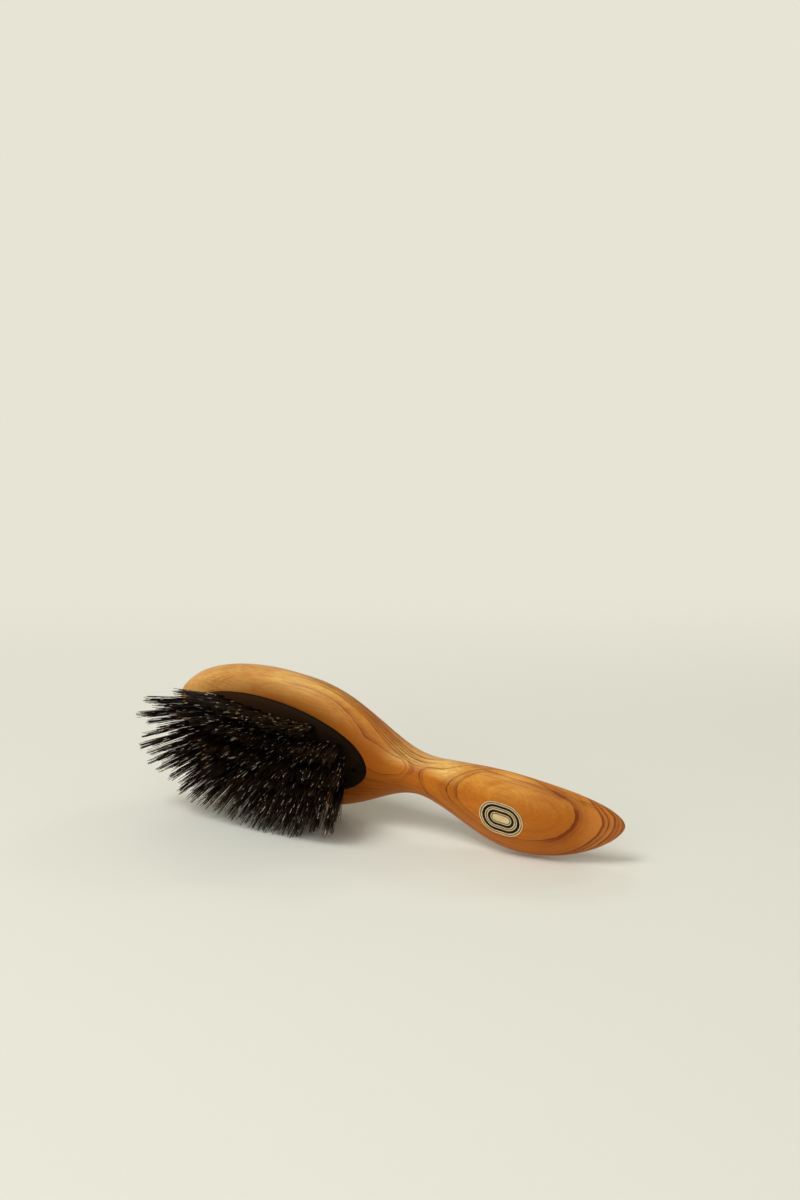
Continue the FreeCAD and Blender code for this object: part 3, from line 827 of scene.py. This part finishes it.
@dataclass(frozen=True)
class CushionShape:
    """Domed rubber membrane, with sizes in millimetres in brush axes."""

    axes: BrushAxes
    centre_at: float = 58.2
    half_length: float = 48.9
    half_width: float = 22.1
    rise: float = 7.0
    rim_height: float = 9.7
    wall: float = 1.6
    skirt_depth: float = 3.0
    rounds: int = 160
    dome_steps: int = 40
    vent_at: float = 102.2
    vent_radius: float = 1.0
    vent_sides: int = 32

    def face_point(self, place: float, side: float) -> Vector:
        """Point of the outer face over a place and a side."""
        flat = ((place - self.centre_at) / self.half_length) ** 2 + (side / self.half_width) ** 2
        return Vector((place, side, self.rim_height + self.rise * math.sqrt(1 - flat)))

    def profile(self) -> list[tuple[float, float, float]]:
        """Works out the rounds of the shell, from the outer crown to the inner one.

        Returns:
            Half length, half width and height of each round.
        """
        turns = [math.pi / 2 * step / self.dome_steps for step in range(1, self.dome_steps + 1)]
        outer, inner = (
            [((self.half_length - inset) * math.sin(turn), (self.half_width - inset) * math.sin(turn),
              (self.rise - inset) * math.cos(turn)) for turn in turns]
            for inset in (0.0, self.wall))
        skirt = [(*outer[-1][:2], -self.skirt_depth), (*inner[-1][:2], -self.skirt_depth)]
        return outer + skirt + inner[::-1]

    def vent_cutter(self) -> Object:
        """Makes the round plug through the membrane that cuts the air vent.

        Returns:
            The plug.
        """
        sides = range(self.vent_sides)
        turns = [2 * math.pi * side / self.vent_sides for side in sides]
        points = [Vector((self.vent_at + self.vent_radius * math.cos(turn),
                          self.vent_radius * math.sin(turn), self.rim_height + lift))
                  for lift in (0.0, self.rise) for turn in turns]
        faces = [tuple(reversed(sides)), tuple(self.vent_sides + side for side in sides)]
        for side in sides:
            after = (side + 1) % self.vent_sides
            faces.append((side, after, self.vent_sides + after, self.vent_sides + side))
        mesh = bpy.data.meshes.new("vent_cutter")
        mesh.from_pydata([self.axes.placed(point) for point in points], [], faces)
        return add_object("vent_cutter", mesh)

    def pierce(self, piece: Object) -> None:
        """Cuts the air vent through the cushion and leaves it a plain mesh.

        Args:
            piece: The cushion.
        """
        cutter = self.vent_cutter()
        modifier = piece.modifiers.new("vent", "BOOLEAN")
        modifier.operation = "DIFFERENCE"
        modifier.solver = "EXACT"
        modifier.object = cutter
        graph = bpy.context.evaluated_depsgraph_get()
        mesh = bpy.data.meshes.new_from_object(piece.evaluated_get(graph), depsgraph=graph)
        piece.modifiers.clear()
        mesh.name = piece.data.name
        piece.data = mesh
        bpy.data.objects.remove(cutter)

    def build(self, material: Material) -> None:
        """Builds the cushion as a closed shell that rides on the handle.

        Args:
            material: Finish of the rubber.
        """
        crown = Vector((self.centre_at, 0, self.rim_height + self.rise))
        points = [crown, crown - Vector((0, 0, self.wall))]
        crowns = len(points)
        rows = self.profile()
        for half_length, half_width, height in rows:
            for step in range(self.rounds):
                turn = 2 * math.pi * step / self.rounds
                points.append(Vector((self.centre_at + half_length * math.cos(turn),
                                      half_width * math.sin(turn), self.rim_height + height)))
        faces = []
        last = crowns + (len(rows) - 1) * self.rounds
        for step in range(self.rounds):
            after = (step + 1) % self.rounds
            faces.append((0, crowns + step, crowns + after))
            for upper in range(crowns, last, self.rounds):
                lower = upper + self.rounds
                faces.append((upper + step, lower + step, lower + after, upper + after))
            faces.append((1, last + after, last + step))
        mesh = bpy.data.meshes.new("cushion_membrane")
        mesh.from_pydata([self.axes.placed(point) for point in points], [], faces)
        mesh.shade_smooth()
        mesh.materials.append(material)
        piece = add_object("cushion_membrane", mesh)
        self.pierce(piece)
        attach(piece, HANDLE_BODY)
        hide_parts("rubber_cushion")
        log.info("built %s with %d faces", piece.name, len(piece.data.polygons))


@dataclass(frozen=True)
class TuftSite:
    """Where a tuft leaves the cushion, and the way that it leans, in brush axes."""

    face: Vector
    lean: Vector


@dataclass(frozen=True)
class TuftField:
    """Rows of tufts on the cushion, with sizes in millimetres and angles in degrees."""

    cushion: CushionShape
    row_count: int = 7
    pitch: float = 5.4
    outer_row_share: float = 0.86
    fullness: float = 2.5
    side_margin: float = 1.6
    toe_margin: float = 2.6
    heel_margin: float = 6.0
    upper_splay: float = 34.0
    lower_splay: float = 22.0
    toe_splay: float = 38.0
    heel_splay: float = 22.0

    def oval(self) -> tuple[float, float, float]:
        """Works out the oval that the tufts fill.

        Returns:
            Its middle, half length and half width.
        """
        inner = self.cushion.half_length - self.cushion.wall
        toe = self.cushion.centre_at - inner + self.toe_margin
        heel = self.cushion.centre_at + inner - self.heel_margin
        half_width = self.cushion.half_width - self.cushion.wall - self.side_margin
        return (toe + heel) / 2, (heel - toe) / 2, half_width

    def lean(self, place: float, side: float) -> Vector:
        """Works out a tuft's direction, which leans out more towards the edge of the field.

        Args:
            place: Where it stands along the brush.
            side: Where it stands across the brush.

        Returns:
            The direction, in brush axes.
        """
        middle, half_length, half_width = self.oval()
        along, across = (place - middle) / half_length, side / half_width
        end_splay = self.toe_splay if along < 0 else self.heel_splay
        side_splay = self.lower_splay if across < 0 else self.upper_splay
        return Vector((math.tan(math.radians(end_splay * along)),
                       math.tan(math.radians(side_splay * across)), 1)).normalized()

    def row_sites(self, row: int) -> list[TuftSite]:
        """Sites of one row, with the rows staggered.

        Args:
            row: Number of the row, from 1 at the lower edge.

        Returns:
            The sites, from the toe to the heel.
        """
        middle, half_length, half_width = self.oval()
        middle_row = (self.row_count + 1) / 2
        side = half_width * self.outer_row_share * (row - middle_row) / (middle_row - 1)
        reach = half_length * (1 - abs(side / half_width) ** self.fullness) ** (1 / self.fullness)
        most = math.ceil(reach / self.pitch)
        offsets = [(number + (row % 2) / 2) * self.pitch for number in range(-most, most + 1)]
        return [TuftSite(self.cushion.face_point(middle + offset, side), self.lean(middle + offset, side))
                for offset in offsets if abs(offset) <= reach]


@dataclass(frozen=True)
class BristleTufts:
    """Bundles of loose bristles, one piece for each row, with sizes in millimetres."""

    layout: TuftField
    count: int = 54
    fewest_share: float = 0.25
    root_radius: float = 1.3
    tip_radius: float = 3.6
    crowding: float = 0.6
    toe_opening: float = 0.38
    opens_from: float = 22.0
    opens_until: float = 66.0
    length: float = 27.4
    longest_share: float = 1.04
    length_spread: float = 0.28
    length_crowding: float = 1.6
    root_thickness: float = 0.42
    tip_thickness: float = 0.25
    stray: float = 0.8
    curl: float = 0.4
    sunk: float = 2.6
    floor_gap: float = 0.1
    strand_points: int = 6
    strand_sides: int = 3

    def values(self, row: int, material: Material | None) -> dict[str, Any]:
        """Gathers the values of the tree's inputs.

        Args:
            row: Number of the row, which is its seed too.
            material: Finish of the bristles.

        Returns:
            Each value by the name of its input.
        """
        return {
            "Count": self.count, "Root Radius": self.root_radius * MM, "Tip Radius": self.tip_radius * MM,
            "Length": (self.length + self.sunk) * MM, "Length Spread": self.length_spread,
            "Root Thickness": self.root_thickness * MM, "Tip Thickness": self.tip_thickness * MM,
            "Stray": self.stray * MM, "Curl": self.curl * MM, "Floor": self.floor_gap * MM,
            "Seed": row, "Material": material,
        }

    def strands(self, tree: GrowingTree, reach: Signal) -> Signal:
        """Makes the bristles' curves, curled and kept above the floor.

        Args:
            tree: Tree that grows the bristles.
            reach: Share of the way from root to tip.

        Returns:
            The curves.
        """
        lean = tree.attribute("lean", "FLOAT_VECTOR")
        opening = tree.attribute("opening", "FLOAT")
        first = tree.vector("NORMALIZE", tree.vector("CROSS_PRODUCT", lean, (1.0, 0.0, 0.0)))
        second = tree.vector("CROSS_PRODUCT", lean, first)
        turn = tree.chance(Draw.TURN) * (2 * math.pi)
        share = tree.chance(Draw.SHARE) ** self.crowding
        ray = tree.vector("ADD", tree.scaled(first, share * turn.math("COSINE")),
                          tree.scaled(second, share * turn.math("SINE")))
        shortening = tree.given("Length Spread") * tree.chance(Draw.LENGTH) ** self.length_crowding
        length = tree.given("Length") * (self.longest_share - shortening)
        flare = tree.scaled(ray, tree.given("Tip Radius") * opening - tree.given("Root Radius"))
        way = tree.vector("ADD", tree.vector("ADD", tree.scaled(lean, length), flare),
                          tree.scaled(tree.scatter(Draw.STRAY), tree.given("Stray")))
        amount = tree.given("Count") * opening.between(self.fewest_share, 1.0)
        spots = tree.add("GeometryNodeDuplicateElements", {"domain": "POINT"},
                         {"Geometry": tree.given("Geometry"), "Amount": amount})
        spots = tree.shifted(spots, tree.scaled(ray, tree.given("Root Radius")))
        spots = tree.store(spots, "tone", "FLOAT", tree.chance(Draw.TONE))
        curl = tree.scaled(tree.scatter(Draw.CURL), tree.given("Curl"))
        spots = tree.store(spots, "curl", "FLOAT_VECTOR", curl)
        line = tree.add("GeometryNodeCurvePrimitiveLine", {}, {"End": (0.0, 0.0, 1.0)})
        line = tree.add("GeometryNodeResampleCurve", {}, {"Curve": line, "Count": self.strand_points})
        strands = tree.add("GeometryNodeInstanceOnPoints", {}, {
            "Points": spots, "Instance": line,
            "Rotation": tree.add("FunctionNodeAlignRotationToVector", {"axis": "Z"}, {"Vector": way}),
            "Scale": tree.combine(1.0, 1.0, tree.vector("LENGTH", way)),
        })
        strands = tree.add("GeometryNodeRealizeInstances", {}, {"Geometry": strands})
        strands = tree.shifted(strands, tree.scaled(tree.attribute("curl", "FLOAT_VECTOR"), reach * reach))
        lowest = tree.combine(-1.0, -1.0, tree.given("Floor"))
        above = tree.vector("MAXIMUM", tree.add("GeometryNodeInputPosition"), lowest)
        return tree.add("GeometryNodeSetPosition", {}, {"Geometry": strands, "Position": above})

    def tree(self) -> GrowingTree:
        """Builds the tree that grows bristles from the tufts' points.

        Returns:
            The tree.
        """
        kinds = {int: "NodeSocketInt", float: "NodeSocketFloat", type(None): "NodeSocketMaterial"}
        inputs = {label: kinds[type(value)] for label, value in self.values(0, None).items()}
        tree = GrowingTree("bristle_tufts", inputs)
        reach = tree.add("GeometryNodeSplineParameter", {}, {}, "Factor")
        strands = tree.store(self.strands(tree, reach), "reach", "FLOAT", reach)
        thickness = tree.given("Root Thickness") * (1 - reach) + tree.given("Tip Thickness") * reach
        ring = tree.add("GeometryNodeCurvePrimitiveCircle", {},
                        {"Resolution": self.strand_sides, "Radius": 0.5})
        tubes = tree.add("GeometryNodeCurveToMesh", {}, {
            "Curve": strands, "Profile Curve": ring, "Scale": thickness, "Fill Caps": True,
        })
        tree.close(tubes, tree.given("Material"))
        return tree

    def seeds(self, row: int) -> Mesh:
        """Makes the points where one row's tufts start.

        Args:
            row: Number of the row.

        Returns:
            A mesh of points that hold the way each tuft leans and how wide it opens.
        """
        axes = self.layout.cushion.axes
        sites = self.layout.row_sites(row)
        mesh = bpy.data.meshes.new(f"tuft_seeds_{row}")
        mesh.from_pydata([axes.placed(site.face - site.lean * self.sunk) for site in sites], [], [])
        leans = [part for site in sites for part in axes.turned(site.lean)]
        mesh.attributes.new("lean", "FLOAT_VECTOR", "POINT").data.foreach_set("vector", leans)
        openings = [self.opening(site) for site in sites]
        mesh.attributes.new("opening", "FLOAT", "POINT").data.foreach_set("value", openings)
        return mesh

    def opening(self, site: TuftSite) -> float:
        """How wide a tuft opens: less at the splayed toe than towards the heel."""
        share = (site.face.x - self.opens_from) / (self.opens_until - self.opens_from)
        return self.toe_opening + (1 - self.toe_opening) * min(max(share, 0.0), 1.0)

    def build(self, material: Material) -> None:
        """Grows every row and lets it ride on its own body.

        Args:
            material: Finish of the bristles.
        """
        tree = self.tree()
        for row in range(1, self.layout.row_count + 1):
            piece = tree.grow(f"bristle_row_{row}", self.seeds(row), self.values(row, material))
            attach(piece, f"row_{row}")
            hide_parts(f"tuft_row_{row}")
            log.info("grew %s with %d faces", piece.name, len(piece.data.polygons))


# Studio


@dataclass(frozen=True)
class LightPanel:
    """A square light, with its place, its aim and its width in metres and its power in watts."""

    name: str
    place: tuple[float, float, float]
    width: float
    power: float
    aim: tuple[float, float, float] = (0.0, 0.0, 0.03)

    def hang(self) -> None:
        """Hangs the light so that it faces its aim."""
        lamp = add_object(self.name, bpy.data.lights.new(self.name, "AREA"))
        lamp.data.size = self.width
        lamp.data.energy = self.power
        lamp.location = self.place
        lamp.rotation_euler = (Vector(self.aim) - Vector(self.place)).to_track_quat("-Z", "Y").to_euler()


@dataclass(frozen=True)
class Studio:
    """Plain floor, soft light and the camera, with lengths in metres."""

    camera_at: Vector = field(default_factory=lambda: Vector((0.353904, -0.624923, 0.280478)))
    camera_towards: Vector = field(default_factory=lambda: Vector((-0.4629, 0.8557, -0.2316)))
    lens: float = 50.83
    sensor_width: float = 36.0
    clip_start: float = 0.01
    floor_half: float = 3.0
    floor_colour: Colour = srgb(223, 224, 214)
    floor_roughness: float = 0.85
    wall_at: float = 2.2
    wall_height: float = 3.0
    sweep_radius: float = 0.6
    sweep_steps: int = 16
    backdrop_colour: Colour = srgb(231, 228, 214)
    backdrop_behind: Span = (0.12, 0.5)
    backdrop_around: Span = (0.5, 1.3)
    surround_colour: Colour = (1.0, 0.93, 0.78, 1.0)
    surround_strength: float = 0.34
    panels: tuple[LightPanel, ...] = (
        LightPanel("top_light", (-0.45, -1.1, 2.0), 0.9, 28.0),
        LightPanel("front_fill", (0.3, -2.2, 1.3), 2.6, 28.0),
        LightPanel("left_glint", (-0.9, 1.3, 1.5), 0.25, 2.5),
        LightPanel("right_glint", (0.6, 1.5, 1.2), 0.25, 2.5),
    )

    def build(self) -> None:
        """Makes the whole stage."""
        self.set_camera()
        self.lay_floor()
        for panel in self.panels:
            panel.hang()
        self.set_surround()
        bpy.context.scene.view_settings.view_transform = "Standard"

    def set_camera(self) -> None:
        """Places the camera at the photograph's viewing angle."""
        camera = add_object("camera", bpy.data.cameras.new("camera"))
        camera.data.lens = self.lens
        camera.data.sensor_width = self.sensor_width
        camera.data.clip_start = self.clip_start
        camera.location = self.camera_at
        camera.rotation_euler = self.camera_towards.to_track_quat("-Z", "Y").to_euler()
        bpy.context.scene.camera = camera

    def lay_floor(self) -> None:
        """Lays a floor that sweeps up into a backdrop behind the brush."""
        away = Vector((self.camera_towards.x, self.camera_towards.y, 0)).normalized()
        side = Vector((away.y, -away.x, 0))
        turns = [math.pi / 2 * step / self.sweep_steps for step in range(self.sweep_steps + 1)]
        sweep = [(self.wall_at + self.sweep_radius * math.sin(turn),
                  self.sweep_radius * (1 - math.cos(turn))) for turn in turns]
        profile = [(-self.floor_half, 0.0), *sweep, (self.wall_at + self.sweep_radius, self.wall_height)]
        corners = [away * reach + side * width + Vector((0, 0, height))
                   for reach, height in profile for width in (-self.floor_half, self.floor_half)]
        faces = [(2 * row, 2 * row + 1, 2 * row + 3, 2 * row + 2) for row in range(len(profile) - 1)]
        mesh = bpy.data.meshes.new("floor")
        mesh.from_pydata(corners, [], faces)
        mesh.shade_smooth()
        finish = Finish("floor_cream")
        spot = finish.object_coordinates()
        behind = finish.vector("DOT_PRODUCT", spot, away).rise(*self.backdrop_behind)
        far = behind.most(finish.vector("LENGTH", spot).rise(*self.backdrop_around))
        finish.glow_to_camera(far, self.backdrop_colour)
        mesh.materials.append(finish.surface(base_color=self.floor_colour, roughness=self.floor_roughness))
        add_object("floor", mesh)

    def set_surround(self) -> None:
        """Sets a dim even surround, which looks like the backdrop to the camera and in reflections."""
        world = bpy.data.worlds.new("surround")
        world.use_nodes = True
        world.node_tree.nodes.clear()
        board = Board(world.node_tree)
        light = board.add("ShaderNodeBackground", {},
                          {"Color": self.surround_colour, "Strength": self.surround_strength})
        backdrop = board.add("ShaderNodeBackground", {}, {"Color": self.backdrop_colour, "Strength": 1.0})
        mixed = board.add("ShaderNodeMixShader", {}, {0: board.seen_directly(), 1: light, 2: backdrop})
        board.add("ShaderNodeOutputWorld", {}, {"Surface": mixed}, None)
        bpy.context.scene.world = world


def dress(node: Object, material: Material) -> None:
    """Gives a CAD node a finish.

    Args:
        node: The node.
        material: The finish.
    """
    if not node.material_slots:
        node.data.materials.append(material)
    for slot in node.material_slots:
        slot.material = material
    log.info("dressed %s", node.name)


def main() -> None:
    """Builds the dressed brush and its stage."""
    logging.basicConfig(level=logging.INFO)
    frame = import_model()
    nodes = frame["nodes"]
    axes = BrushAxes()
    Studio().build()
    dress(nodes["wood_body"], OliveWood(axes).build())
    dress(nodes["badge_plate"], BadgeBrass(axes).build())
    dress(nodes["badge_infill"], ENAMEL.build())
    dress(nodes["badge_adhesive"], GLUE.build())
    steel = STEEL.build()
    for name, node in nodes.items():
        if name.startswith("anchor_row"):
            dress(node, steel)
    cushion = CushionShape(axes)
    cushion.build(CushionRubber(axes).build())
    BristleTufts(TuftField(cushion)).build(BristleHair().build())


if __name__ == "__main__":
    main()
